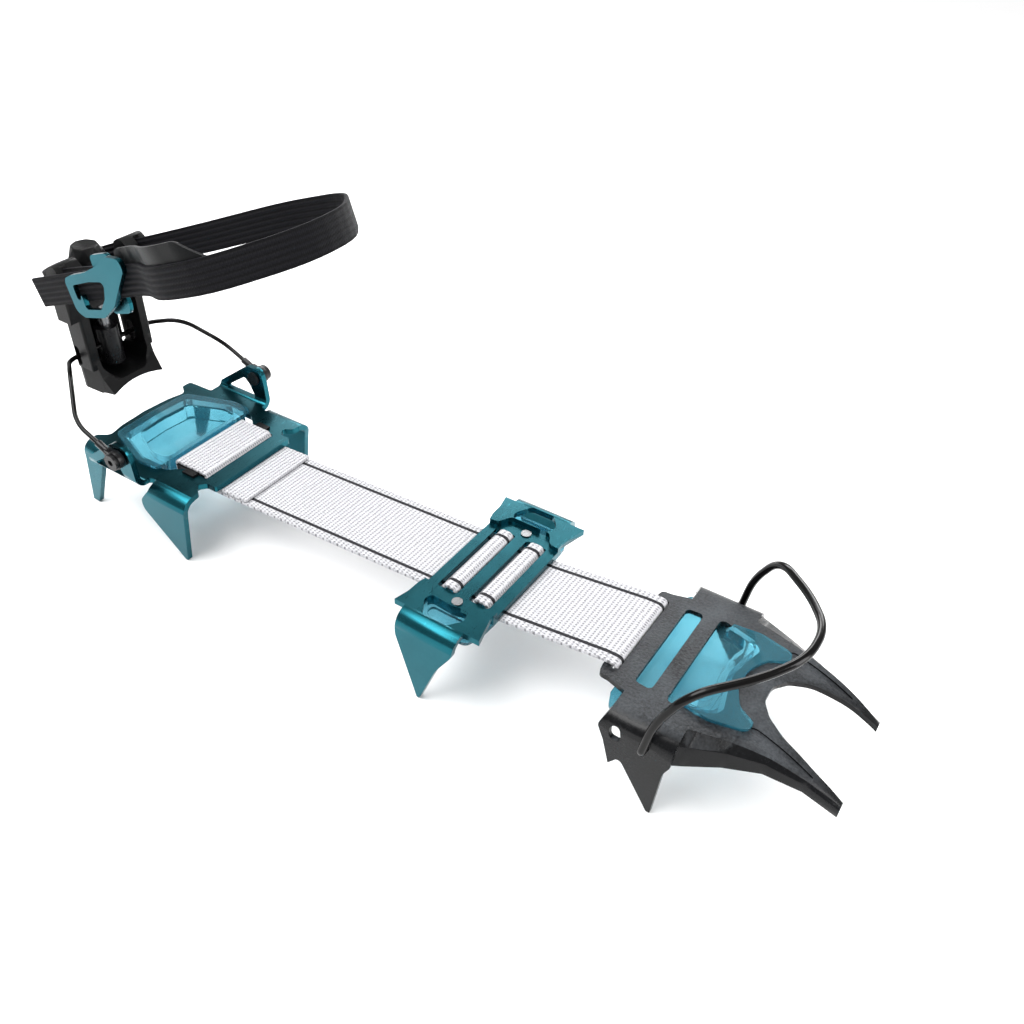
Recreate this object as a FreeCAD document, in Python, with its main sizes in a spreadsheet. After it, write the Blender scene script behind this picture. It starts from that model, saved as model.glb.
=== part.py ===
"""Strap-linked crampon: steel toe piece, slotted middle plate, aluminium heel piece, webbing between them,
a wire toe bail, and a heel lever on a cable with its ankle strap.

Design axes: +X to the toes, +Y to the left, +Z up. While it is drawn, X = 0 is the middle plate's centre and
Z = 0 is the top of its slotted web. The export moves the whole to stand on Z = 0, centred on X.
Lengths are millimetres.
"""
import FreeCAD, Part
import math
import os
from FreeCAD import Placement, Rotation, Vector

SIZES = {
    # the three plates
    "leg_height": 37.0,       # web top of the middle plate down to the point tips
    "mid_gauge": 2.5,
    "mid_step": 2.0,          # how far the ends of the middle plate stand above its web
    "mid_half_width": 44.0,
    "toe_gauge": 2.0,
    "toe_level": 1.0,         # top of the toe plate
    "toe_start": 59.5,        # rear edge of the toe plate
    "toe_half_width": 40.0,
    "heel_gauge": 2.5,
    "heel_level": -4.0,       # top of the heel plate
    "heel_start": -125.5,     # front edge of the heel plate
    "heel_half_width": 39.0,
    "fold_radius": 6.5,
    "ear_half_width": 40.6,   # outer faces of the heel ears
    # linkage webbing
    "strap_width": 40.0,
    "strap_gauge": 1.6,
    "strap_play": 0.6,        # each side, in its slots
    "lay_gap": 0.15,          # between webbing and what it lies on
    "fold_gap": 6.0,          # space between the two halves of a webbing span at its fold
    # toe bail
    "bail_wire_radius": 1.5,
    "bail_play": 0.08,
    "bail_hole_x": 86.0,
    "bail_hole_drop": 7.5,    # below the toe plate's top
    # heel cable, its bolts and its eyes
    "cable_radius": 1.0,
    "cable_play": 0.05,
    "bolt_radius": 2.0,
    "bolt_play": 0.06,
    "bolt_head_radius": 3.6,
    "bolt_head_height": 1.8,
    "bolt_x": -160.0,
    "bolt_rise": 11.5,        # above the heel plate's top
    "eye_thickness": 2.8,
    "eye_radius": 4.0,
    "eye_gap": 0.55,           # between the ears and the eyes
    "sleeve_radius": 1.6,
    # heel lever
    "screw_x": -208.0,
    "lever_half_width": 17.0,
    "lever_wall": 4.5,
    "lever_top": 58.0,
    "lever_floor": 19.0,
    "cable_height": 28.0,
    "barrel_radius": 5.2,
    "barrel_low": 19.0,
    "barrel_high": 36.0,
    "screw_radius": 2.5,
    "screw_play": 0.05,
    "screw_low": 33.0,
    "knob_radius": 8.2,
    "knob_height": 9.0,
    "knob_low": 64.0,
    # ankle strap
    "ankle_width": 11.8,
    "ankle_gauge": 1.8,
    "ankle_slope": 20.4,      # degrees
    "ankle_level": 62.0,      # strap centre over the screw's axis
    "ankle_play": 0.5,
    "buckle_gauge": 2.0,
    "rivet_radius": 2.1,
    "skid_gauge": 1.4,        # wall of the translucent anti-snow plates
}

doc = FreeCAD.newDocument("Crampon")
sheet = doc.addObject("Spreadsheet::Sheet", "Sizes")
for row, (alias, value) in enumerate(SIZES.items(), start=1):
    sheet.set(f"A{row}", alias)
    sheet.set(f"B{row}", str(value))
    sheet.setAlias(f"B{row}", alias)
doc.recompute()


class Sheet:
    """Reads a size by its alias: S.strap_width."""

    def __getattr__(self, alias):
        return float(sheet.get(alias))


S = Sheet()
FAR = 400.0          # longer than anything cut or crossed with it
CUT = 0.5            # how far a cutter passes the face that it opens
PARTS = {}           # node name: document object


# ---------------------------------------------------------------- drawing helpers
def rounded(points, place):
    """A closed wire through (u, v) or (u, v, radius) corners, each radius limited by its runs."""
    corners = [(p[0], p[1], p[2] if len(p) > 2 else 0.0) for p in points]
    count = len(corners)
    ends = []
    for i, (u, v, radius) in enumerate(corners):
        here = Vector(u, v, 0)
        before = Vector(*corners[i - 1][:2], 0) - here
        after = Vector(*corners[(i + 1) % count][:2], 0) - here
        turn = before.getAngle(after)
        if radius <= 0 or turn > math.pi - 1e-3:
            ends.append((here, None, here))
            continue
        reach = min(radius / math.tan(turn / 2), 0.49 * before.Length, 0.49 * after.Length)
        radius = reach * math.tan(turn / 2)
        start = here + before.normalize() * reach
        end = here + after.normalize() * reach
        inward = (before + after).normalize()
        middle = here + inward * (radius / math.sin(turn / 2) - radius)
        ends.append((start, middle, end))
    edges = []
    for i, (start, middle, end) in enumerate(ends):
        if middle is not None:
            edges.append(Part.Arc(place(start), place(middle), place(end)).toShape())
        following = ends[(i + 1) % count][0]
        if end.distanceToPoint(following) > 1e-4:
            edges.append(Part.LineSegment(place(end), place(following)).toShape())
    return Part.Wire(edges)


def top(points, low, high):
    """A solid with the outline (x, y), from one Z to another."""
    face = Part.Face(rounded(points, lambda p: Vector(p.x, p.y, low)))
    return face.extrude(Vector(0, 0, high - low))


def side(points, low, high):
    """A solid with the outline (x, z), from one Y to another."""
    face = Part.Face(rounded(points, lambda p: Vector(p.x, low, p.y)))
    return face.extrude(Vector(0, high - low, 0))


def end(points, low, high):
    """A solid with the outline (y, z), from one X to another."""
    face = Part.Face(rounded(points, lambda p: Vector(low, p.x, p.y)))
    return face.extrude(Vector(high - low, 0, 0))


def band(path, gauge):
    """The outline of a strip with one face on the open path and the other gauge to its right."""
    line = [(p[0], p[1], p[2] if len(p) > 2 else 0.0) for p in path]
    other = []
    for i, (u, v, radius) in enumerate(line):
        here = Vector(u, v, 0)
        runs = []
        if i > 0:
            runs.append((here - Vector(*line[i - 1][:2], 0)).normalize())
        if i < len(line) - 1:
            runs.append((Vector(*line[i + 1][:2], 0) - here).normalize())
        rights = [Vector(r.y, -r.x, 0) for r in runs]
        if len(rights) == 1:
            shift, grown = rights[0] * gauge, 0.0
        else:
            miter = (rights[0] + rights[1]).normalize()
            shift = miter * (gauge / miter.dot(rights[0]))
            left_turn = runs[0].x * runs[1].y - runs[0].y * runs[1].x > 0
            grown = max(radius + gauge if left_turn else radius - gauge, 0.0)
        other.append((u + shift.x, v + shift.y, grown))
    return line + other[::-1]


def beside(path, shift):
    """The open path moved to its right by shift, or to its left when shift is negative."""
    return band(path, shift)[len(path):][::-1]


def centred(path, gauge):
    """The outline of a strip whose middle line is the path."""
    return band(beside(path, -gauge / 2), gauge)


def mirrored(half):
    """A closed outline from its half at y >= 0, which starts and ends on or near the centre line."""
    return list(half) + [(p[0], -p[1], *p[2:]) for p in half[::-1]]


def flip(shape):
    """The same shape on the other side, at -Y."""
    return shape.mirror(Vector(0, 0, 0), Vector(0, 1, 0))


def both(shape):
    return shape.fuse(flip(shape))


def rod(start, along, radius):
    return Part.makeCylinder(radius, along.Length, start, along)


def route(points, limits):
    """A wire of straight runs joined by tangent arcs, each as large as its two runs and its limit allow."""
    edges = []
    last = points[0]
    for before, here, after, limit in zip(points, points[1:], points[2:], limits):
        back, on = before - here, after - here
        reach = min(0.45 * back.Length, 0.45 * on.Length, limit)
        turn = back.getAngle(on)
        start = here + Vector(back).normalize() * reach
        finish = here + Vector(on).normalize() * reach
        inward = (Vector(back).normalize() + Vector(on).normalize()).normalize()
        radius = reach * math.tan(turn / 2)
        middle = here + inward * (radius / math.sin(turn / 2) - radius)
        edges.append(Part.LineSegment(last, start).toShape())
        edges.append(Part.Arc(start, middle, finish).toShape())
        last = finish
    edges.append(Part.LineSegment(last, points[-1]).toShape())
    return Part.Wire(edges)


def wire_solid(half, limits, radius, name):
    """A round wire along a route given by its left half. Its volume must be section times length."""
    points = half + [Vector(p.x, -p.y, p.z) for p in half[::-1]]
    path = route(points, limits + limits[::-1])
    start = path.OrderedEdges[0]
    along = start.tangentAt(start.FirstParameter)
    circle = Part.Wire(Part.makeCircle(radius, points[0], along))
    solid = path.makePipeShell([circle], True, False)
    wanted = math.pi * radius ** 2 * path.Length
    if abs(solid.Volume - wanted) > 0.02 * wanted:
        raise ValueError(f"{name}: the sweep holds {solid.Volume:.0f} mm3, not {wanted:.0f}")
    return solid


def add(name, shape):
    """Keeps a shape worked out above as a node."""
    shape = shape.removeSplitter() if shape.ShapeType != "Compound" or len(shape.Solids) == 1 else shape
    item = doc.addObject("Part::Feature", name)
    item.Label = name
    item.Shape = shape
    item.Placement = Placement()
    PARTS[name] = item
    return item


def keep(name, item):
    """Names a document object with live sizes as a node."""
    item.Label = name
    PARTS[name] = item
    return item


def primitive(kind, **expressions):
    """A Part primitive whose properties are bound to expressions of the sheet."""
    item = doc.addObject(kind, "Form")
    for key, text in expressions.items():
        item.setExpression(key.replace("__", "."), text)
    return item


def boolean(kind, base, tool):
    item = doc.addObject(kind, "Form")
    item.Base, item.Tool = base, tool
    return item


def turned(item, axis, angle):
    item.Placement = Placement(item.Placement.Base, Rotation(axis, angle))
    return item


# ---------------------------------------------------------------- webbing levels
ground = -S.leg_height
slot_half = S.strap_width / 2 + S.strap_play
rivet_y = slot_half + 3.4
web_under = -S.mid_gauge - S.lay_gap - S.strap_gauge / 2           # webbing middle under the middle plate
rib_top = -0.2                                                     # the ribs lift the webbing into the slots
web_over = rib_top + S.lay_gap + S.strap_gauge / 2
toe_low = S.toe_level - S.toe_gauge
heel_low = S.heel_level - S.heel_gauge
flap_level = heel_low - S.lay_gap - S.strap_gauge / 2              # folded-back layer under the front bar
main_level = flap_level - S.strap_gauge - S.lay_gap                # the layer below it
lock_top = S.heel_level + 0.1


# ---------------------------------------------------------------- middle plate
def mid_boundary(shift):
    """The S-curve between the slotted web and a raised end, rear to front, moved outward by shift."""
    inner = slot_half + 0.9 + shift
    outer = rivet_y + S.rivet_radius + 1.6 + shift
    return [(-17.0, inner, 3), (-12.0, inner + 0.6, 3), (-9.0, outer, 2.5), (9.0, outer, 2.5),
            (12.0, inner + 0.6, 3), (17.5, inner, 3)]


def mid_plate():
    fold_at = S.mid_half_width - S.fold_radius
    end_top = S.mid_step
    crest = band([(fold_at - 40, end_top), (S.mid_half_width, end_top, S.fold_radius),
                  (S.mid_half_width, ground - 5)], S.mid_gauge)
    sheet_form = end(crest, -FAR, FAR)
    flat = top([(-17.0, 10), (-15.6, 21, 2), (-16.6, 25, 3), (-16.8, 31, 4), (-18.9, 40.2),
                (-15.2, 37.4, 1.5), (-13.4, S.mid_half_width), (12.6, S.mid_half_width),
                (13.8, 37.0, 1.5), (19.8, 40.3),
                (16.0, 25, 6), (16.4, 21, 2), (17.5, 10)], end_top - 9, end_top + 1)
    leg = side([(-13.4, end_top + 1), (-13.6, -8, 8), (-4.4, ground), (-3.2, ground), (4.6, -17, 30),
                (11.4, -6.0, 6), (12.6, end_top + 1)], fold_at, S.mid_half_width + 1)
    inside = top([(-30, 0), *mid_boundary(0), (30, 0)], -FAR, FAR)
    raised = sheet_form.common(flat.cut(top([(-30, fold_at), (30, fold_at), (30, 90), (-30, 90)], -FAR, FAR)))
    raised = raised.cut(inside).fuse(sheet_form.common(leg))
    riser = top(mid_boundary(0) + mid_boundary(2.6)[::-1], -S.mid_gauge, end_top)
    riser = riser.common(top([(-15.6, 0), (-15.6, 60), (16.4, 60), (16.4, 0)], -FAR, FAR))
    ends = raised.fuse(riser)
    web = top([(-15.6, -60), (-15.6, 60), (16.4, 60), (16.4, -60)], -S.mid_gauge, 0)
    web = web.common(inside.fuse(flip(inside)))
    body = web.fuse([ends, flip(ends)])
    window = top([(-8.6, 27.6, 2), (-9.4, 31, 3), (-5.6, 38.2, 4), (4.6, 38.4, 4), (9.2, 32.5, 3),
                  (7.6, 27.2, 2), (0, 28.4, 8)], -FAR, FAR)
    body = body.cut(both(window.common(top([(-30, 0), (30, 0), (30, fold_at + 0.6), (-30, fold_at + 0.6)],
                                           -FAR, FAR))))
    for low, high in ((-11.4, -2.4), (2.7, 11.9)):
        slot = top([(low, -slot_half, 1.2), (low, slot_half, 1.2), (high, slot_half, 1.2),
                    (high, -slot_half, 1.2)], -FAR, FAR)
        body = body.cut(slot)
    for y in (rivet_y, -rivet_y):
        body = body.cut(rod(Vector(0.3, y, -10), Vector(0, 0, 20), S.rivet_radius - 0.6))
    return body


def mid_skid():
    """The translucent tray under the middle plate: two ribs lift the webbing, two tubs fill the windows."""
    low = web_under - S.strap_gauge / 2 - S.lay_gap
    floor = top(mirrored([(-14.4, 0), (-14.4, 22, 2), (-16.6, 30, 3), (-13.2, 36.4, 3), (12.6, 36.4, 3),
                          (14.8, 30, 3), (15.2, 22, 2), (15.2, 0)]), low - S.skid_gauge, low)
    ribs = []
    for x in (-6.9, 7.3):
        rib = end([(-slot_half + 1, low - 0.5), (-slot_half + 1, rib_top, 1), (slot_half - 1, rib_top, 1),
                   (slot_half - 1, low - 0.5)], x - 1.1, x + 1.1)
        ribs.append(rib)
    pad_top = -S.mid_gauge - 0.1
    pads = []
    for turn in (1, -1):
        pad = top([(-12.5, turn * (slot_half + 1), 1), (-13.4, turn * 30, 3), (-11, turn * 35.6, 3),
                   (10.4, turn * 35.6, 3), (12.8, turn * 30, 3), (12.5, turn * (slot_half + 1), 1)],
                  low - 0.5, pad_top)
        cup = top([(-7.6, turn * 28.6, 2), (-7.8, turn * 32, 2), (-4.6, turn * 34.2, 2),
                   (4.2, turn * 34.2, 2), (7.8, turn * 32, 2), (6.6, turn * 28.6, 2)], low + 0.6, FAR)
        pads.append(pad.cut(cup))
    body = floor.fuse(ribs + pads)
    for y in (rivet_y, -rivet_y):
        body = body.cut(rod(Vector(0.3, y, -20), Vector(0, 0, 30), S.rivet_radius - 0.6))
    return body


def mid_rivets():
    low = web_under - S.strap_gauge / 2 - S.lay_gap - S.skid_gauge
    solids = []
    for y in (rivet_y, -rivet_y):
        shank = rod(Vector(0.3, y, low), Vector(0, 0, -low), S.rivet_radius - 0.6)
        head = rod(Vector(0.3, y, 0), Vector(0, 0, 0.5), S.rivet_radius)
        foot = rod(Vector(0.3, y, low - 0.8), Vector(0, 0, 0.8), S.rivet_radius + 0.6)
        solids.append(shank.fuse([head, foot]).removeSplitter())
    return Part.makeCompound(solids)


# ---------------------------------------------------------------- toe piece
def toe_x(x):
    """A place on the toe piece, drawn with its rear edge at 59.5."""
    return x - 59.5 + S.toe_start


TOE_FLANGE = (
    # x, then (y, z) of the crease, the rounding and the lower edge
    (94.0, 30.6, 1.0, 37.2, -1.6, 39.6, -9.4),
    (99.0, 29.4, 1.0, 35.2, -1.4, 37.4, -8.6),
    (110.0, 27.0, 0.9, 30.6, -1.0, 32.0, -6.8),
    (122.0, 24.6, -0.7, 26.4, -2.2, 27.2, -6.2),
    (135.0, 22.7, -4.9, 23.5, -6.2, 23.9, -9.4),
    (147.4, 20.6, -11.5, 21.8, -12.0, 22.0, -15.4),
)


def toe_crease():
    return [(toe_x(x), y) for x, y, *_ in TOE_FLANGE]


def toe_flange():
    """The sheet that turns down outside the crease, from the ear to the tip of the front point."""
    gauge = S.toe_gauge
    sections = []
    for x, crease_y, crease_z, round_y, round_z, low_y, low_z in TOE_FLANGE:
        shift = S.toe_level - 1.0
        outline = [(crease_y, crease_z), (round_y, round_z), (low_y, low_z), (low_y - gauge, low_z),
                   (round_y - 0.7 * gauge, round_z - 0.7 * gauge), (crease_y - 0.4 * gauge, crease_z - gauge)]
        sections.append(Part.makePolygon([Vector(toe_x(x), y, z + shift) for y, z in outline + outline[:1]]))
    return Part.makeLoft(sections, True, True)


def toe_outline():
    return mirrored([(toe_x(59.5), 0), (toe_x(59.5), 21, 0.5), (toe_x(60.2), 24.8, 1.8),
                     (toe_x(64.2), 25.2, 2), (toe_x(71.5), 27.4, 1), (toe_x(75.0), 31.4, 1.5), *toe_crease(),
                     (toe_x(147.4), 18.6), (toe_x(136), 17.4, 40), (toe_x(123), 14.0, 18),
                     (toe_x(116.2), 9.6, 6), (toe_x(112.2), 4.0, 6), (toe_x(112.2), 0)])


def toe_curve(drop):
    """The side line of the toe plate, flat and then bent down to the front points, moved down by drop."""
    bend_start, bend_radius, bend_end = toe_x(106), 75.0, toe_x(152)
    level = S.toe_level - drop
    centre = Vector(bend_start, 0, S.toe_level - bend_radius)
    radius = bend_radius - drop

    def at(angle):
        return Vector(centre.x + radius * math.sin(angle), 0, centre.z + radius * math.cos(angle))

    sweep = math.asin((bend_end - bend_start) / bend_radius)
    flat = Part.LineSegment(Vector(toe_x(40), 0, level), Vector(bend_start, 0, level)).toShape()
    bent = Part.Arc(at(0), at(sweep / 2), at(sweep)).toShape()
    return flat, bent


def toe_layer(upper, lower):
    """Everything between two curves of the toe plate's side line, across the whole width."""
    flat_a, bent_a = toe_curve(upper)
    flat_b, bent_b = toe_curve(lower)
    front = Part.LineSegment(bent_a.Vertexes[-1].Point, bent_b.Vertexes[-1].Point).toShape()
    rear = Part.LineSegment(flat_a.Vertexes[0].Point, flat_b.Vertexes[0].Point).toShape()
    wire = Part.Wire(Part.__sortEdges__([flat_a, bent_a, front, bent_b, flat_b, rear]))
    face = Part.Face(wire)
    face.translate(Vector(0, -100, 0))
    return face.extrude(Vector(0, 200, 0))


def toe_plate():
    gauge = S.toe_gauge
    body = toe_layer(0, gauge).common(top(toe_outline(), -FAR, FAR))
    slot_0 = top([(toe_x(62.4), -slot_half, 0.8), (toe_x(62.4), slot_half, 0.8),
                  (toe_x(65.2), slot_half, 0.8), (toe_x(65.2), -slot_half, 0.8)], -FAR, FAR)
    slot_1 = top([(toe_x(72.0), -21.4, 1.8), (toe_x(72.0), 21.4, 1.8), (toe_x(78.6), 21.9, 1.8),
                  (toe_x(78.6), -21.9, 1.8)], -FAR, FAR)
    window = top(mirrored([(toe_x(84.6), 0), (toe_x(84.6), 23.6, 2), (toe_x(103.5), 19.6, 5),
                           (toe_x(100.5), 8, 6), (toe_x(99.0), 0)]), -FAR, FAR)
    body = body.cut([slot_0, slot_1, window])
    flange = toe_flange()
    body = body.fuse([flange, flip(flange)])
    # ears: a rolled fold down to the side points
    fold = 9.0
    half = S.toe_half_width
    ear_band = band([(half - fold - 6, S.toe_level), (half, S.toe_level, fold), (half, ground - 5)], gauge)
    ear_shape = side([(toe_x(71.8), S.toe_level + 1), (toe_x(68.6), -5.4, 3.5), (toe_x(71.5), -12),
                      (toe_x(74.6), -22.4), (toe_x(77.6), -18.2, 1.2), (toe_x(79.4), -18.8, 1.5),
                      (toe_x(91.4), ground), (toe_x(92.8), ground), (toe_x(94.0), -14, 12),
                      (toe_x(96.0), -9.4, 3), (toe_x(96.0), S.toe_level + 1)], 20, half + 1)
    ear = end(ear_band, -FAR, FAR).common(ear_shape)
    body = body.fuse([ear, flip(ear)])
    # spare bail hole, then the bail's own hole
    spare = side([(toe_x(73.4), -9.4, 1.9), (toe_x(73.0), -3.6, 1.9), (toe_x(76.6), -3.0, 1.9),
                  (toe_x(78.2), -9.4, 1.9)], half - 5, half + 5)
    bail_z = S.toe_level - S.bail_hole_drop
    hole = rod(Vector(S.bail_hole_x, half - 5, bail_z), Vector(0, 10, 0), S.bail_wire_radius + S.bail_play)
    for cutter in (spare, hole):
        body = body.cut([cutter, flip(cutter)])
    # pressed stiffening grooves along the front points
    groove = top([(toe_x(110), 23.6, 2), (toe_x(136.2), 20.4), (toe_x(136.4), 19.8), (toe_x(113), 16.4, 3)],
                 -FAR, FAR)
    groove = groove.common(toe_layer(-2, 0.6))
    body = body.cut([groove, flip(groove)])
    return body


def toe_skid():
    """The translucent plate of the toe piece: a tray below it that comes up through the window."""
    low = toe_low - S.strap_gauge - 2 * S.lay_gap - 0.4
    gauge = S.skid_gauge
    tray = top(mirrored([(toe_x(66.4), 0), (toe_x(66.4), 27, 2), (toe_x(68.8), 33.2, 4), (toe_x(74), 34.2, 3),
                         (toe_x(76), 27.6, 2), (toe_x(96), 26, 3), (toe_x(98.4), 16, 6), (toe_x(98.4), 0)]),
               low - gauge, low)
    rim = mirrored([(toe_x(88), 0), (toe_x(88), 22.4, 2), (toe_x(101.4), 19.0, 4), (toe_x(98.6), 8, 5),
                    (toe_x(97.4), 0)])
    inner = mirrored([(toe_x(80), 0), (toe_x(80), 20.4, 2), (toe_x(98.4), 17.2, 4), (toe_x(95.8), 8, 5),
                      (toe_x(94.8), 0)])
    over = S.toe_level + 0.1
    wall = top(rim, low - 0.4, over).cut(top(inner, -FAR, FAR))
    fork = top(mirrored([(toe_x(89.5), 15.5), (toe_x(89.5), 22.4, 1), (toe_x(100), 23.6, 6),
                         (toe_x(112.6), 20.8, 3), (toe_x(113.2), 16.6, 1.6), (toe_x(106.4), 12.6, 6),
                         (toe_x(102.6), 4.6, 8), (toe_x(102.6), 0)][1:]), over, over + gauge)
    hollow = top(mirrored([(toe_x(80), 0), (toe_x(80), 20.4, 2), (toe_x(98.4), 17.2, 4),
                           (toe_x(95.8), 8, 5), (toe_x(94.8), 0)]), -FAR, FAR)
    return tray.fuse([wall, fork.cut(hollow)])


# ---------------------------------------------------------------- toe bail
def bail_points():
    half = S.toe_half_width
    z = S.toe_level - S.bail_hole_drop
    x = S.bail_hole_x
    out = half + S.bail_wire_radius + 1.0
    return [Vector(x, half - 6.5, z), Vector(x, out, z), Vector(x + 2.0, out - 1.2, z + 16),
            Vector(x + 10, out - 4.6, z + 32), Vector(x + 26, 22, z + 35), Vector(x + 35, 8, z + 37)]


BAIL_BENDS = [2.4, 8.0, 8.0, 12.0, 12.0]


# ---------------------------------------------------------------- heel piece
def heel_x(x):
    """A place on the heel piece, drawn with its front edge at -125.5."""
    return x + 125.5 + S.heel_start


def heel_plate():
    gauge, level = S.heel_gauge, S.heel_level
    half, ear_half, fold = S.heel_half_width, S.ear_half_width, S.fold_radius
    outline = mirrored([(heel_x(-195), 0), (heel_x(-194), 14, 8), (heel_x(-192), 22, 3),
                        (heel_x(-197), 25.5, 1), (heel_x(-197), 30.5, 1.5),
                        (heel_x(-183), 31, 1.5), (heel_x(-183), 34.4, 1),
                        (heel_x(-153.6), 34.4, 1), (heel_x(-151), half - fold + 0.9, 1),
                        (heel_x(-128.6), half - fold + 0.9),
                        (heel_x(-129.2), 29, 2), (heel_x(-133.2), 26.4, 1.5),
                        (heel_x(-130.4), slot_half + 2.2, 1.5),
                        (heel_x(-125.5), slot_half + 2.2, 1), (heel_x(-125.5), 0)])
    flat = top(outline, level - gauge, level)
    window = top(mirrored([(heel_x(-187.5), 0), (heel_x(-186.5), 19, 4), (heel_x(-166), 26.6, 10),
                           (heel_x(-152), 26.2, 4), (heel_x(-146), slot_half, 2),
                           (heel_x(-133.2), slot_half, 1), (heel_x(-133.2), 0)]), -FAR, FAR)
    body = flat.cut(window)
    # front points, folded down along the sides
    crest = band([(half - fold - 6, level), (half, level, fold), (half, ground - 5)], gauge)
    leg = side([(heel_x(-149.4), level + 1), (heel_x(-150.6), level - 3.5, 3), (heel_x(-156), -14, 6),
                (heel_x(-155), -18.5, 4), (heel_x(-134.4), ground), (heel_x(-133), ground),
                (heel_x(-129.6), -13, 12), (heel_x(-128.6), level - 4, 3), (heel_x(-128.6), level + 1)],
               half - fold, half + 1)
    front = end(crest, -FAR, FAR).common(leg)
    # rear points, folded down at the rear corners
    rear_half = 33.6
    rear_crest = band([(rear_half - fold - 4, level), (rear_half, level, fold),
                       (rear_half, ground - 5)], gauge)
    rear_leg = side([(heel_x(-197), level + 1), (heel_x(-197.4), -12, 8), (heel_x(-201.2), ground),
                     (heel_x(-197.2), ground), (heel_x(-186.8), -13, 6), (heel_x(-184.6), level + 1)],
                    rear_half - fold, rear_half + 1)
    rear = end(rear_crest, -FAR, FAR).common(rear_leg)
    # ears for the cable, folded up
    lift = band([(ear_half, level + 40), (ear_half, level - gauge, gauge + 2.5),
                 (ear_half - fold - gauge - 5, level - gauge)], gauge)
    bolt_z = level + S.bolt_rise
    ear_form = side([(heel_x(-183.4), level - gauge - 1), (heel_x(-183.4), level + 2.4, 2),
                     (S.bolt_x - 4, bolt_z + 5.2, 4), (S.bolt_x + 4.4, bolt_z + 5.6, 4.5),
                     (S.bolt_x + 5.8, bolt_z - 1, 6), (heel_x(-153.4), level - gauge - 1)],
                    ear_half - fold - gauge - 4, ear_half + 1)
    gap = side([(heel_x(-179), level + 0.5, 0.7), (heel_x(-178.6), level + 1.6, 0.7),
                (S.bolt_x - 6.4, bolt_z - 1.4, 1.2), (S.bolt_x - 3.6, bolt_z - 4.2, 1.2),
                (S.bolt_x - 0.4, level + 0.5, 0.8)], ear_half - 5, ear_half + 1)
    bore = rod(Vector(S.bolt_x, ear_half - 8, bolt_z), Vector(0, 16, 0), S.bolt_radius + S.bolt_play)
    ear = end(lift, -FAR, FAR).common(ear_form).cut([gap, bore])
    return body.fuse([front, flip(front), rear, flip(rear), ear, flip(ear)])


def heel_skid():
    """The translucent tub that fills the heel plate's window and laps over its edge."""
    level = S.heel_level
    gauge = S.skid_gauge
    rim = top(mirrored([(heel_x(-190.2), 0), (heel_x(-189.6), 20.5, 4), (heel_x(-165), 29.4, 14),
                        (heel_x(-154.4), 28.4, 3), (heel_x(-154.4), 0)]), level + 0.1, level + 0.1 + gauge)
    tub = mirrored([(heel_x(-186.9), 0), (heel_x(-185.9), 18.2, 4), (heel_x(-166), 25.8, 10),
                    (heel_x(-154.4), 25.4, 2), (heel_x(-154.4), 0)])
    hollow = mirrored([(heel_x(-182.4), 0), (heel_x(-181.2), 14.4, 4), (heel_x(-164.5), 21.6, 8),
                       (heel_x(-156.6), 21.0, 3), (heel_x(-156.6), 0)])
    floor = level - 6.2
    body = rim.fuse(top(tub, floor - gauge, level + 0.6))
    return body.cut(top(hollow, floor, FAR))


def lock_bar():
    """The black bar that the webbing turns round, resting on the heel plate by its two end tabs."""
    inner, outer, reach = S.strap_width / 2 + 0.15, slot_half - 0.15, slot_half + 3
    half = [(inner, lock_top - 0.6), (inner, lock_top + 0.9), (reach, lock_top + 0.9), (reach, lock_top),
            (outer, lock_top), (outer, lock_top - 0.6)]
    tab = end(half, heel_x(-144.5), heel_x(-138.0))
    bar = end([(-outer, lock_top - 4.2), (-outer, lock_top - 0.02), (outer, lock_top - 0.02),
               (outer, lock_top - 4.2)], heel_x(-151.4), heel_x(-136.6))
    return bar.fuse([tab, flip(tab)])


# ---------------------------------------------------------------- linkage webbing
def webbing(path):
    return side(centred(path, S.strap_gauge), -S.strap_width / 2, S.strap_width / 2)


def span_line(x, start, finish):
    """The level at x on the straight line between two (x, z) places."""
    share = (x - start[0]) / (finish[0] - start[0])
    return start[1] + share * (finish[1] - start[1])


rear_from, rear_to = (heel_x(-125.5), main_level), (-16.5, web_under)
rear_fold_x = (rear_from[0] + rear_to[0]) / 2
rear_fold_z = span_line(rear_fold_x, rear_from, rear_to)
front_fold_x = (17.0 + S.toe_start) / 2
toe_over = S.toe_level + S.lay_gap + S.strap_gauge / 2             # webbing over the rearmost toe bar
front_from, front_to = (17.0, web_under), (S.toe_start - 1.5, toe_over)
front_fold_z = span_line(front_fold_x, front_from, front_to)
half_gap = S.fold_gap / 2


def strap_mid():
    """The webbing through the middle plate, wave over the two ribs, and half of each span."""
    low, high = web_under, web_over
    rear_end = rear_fold_x + half_gap
    front_end = front_fold_x - half_gap
    return webbing([(rear_end, span_line(rear_end, rear_from, rear_to)), (*rear_to, 3),
                    (-10.5, low, 1.6), (-9.0, high, 1.6), (-4.8, high, 1.6), (-3.3, low, 1.6),
                    (3.6, low, 1.6), (5.1, high, 1.6), (9.5, high, 1.6), (11.0, low, 1.6), (*front_from, 3),
                    (front_end, span_line(front_end, front_from, front_to))])


def strap_toe():
    start = front_fold_x + half_gap
    under = toe_low - S.lay_gap - S.strap_gauge / 2
    return webbing([(start, span_line(start, front_from, front_to)), (*front_to, 5),
                    (toe_x(63.3), toe_over, 1.4), (toe_x(63.9), under, 1.4), (toe_x(70.5), under)])


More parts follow.
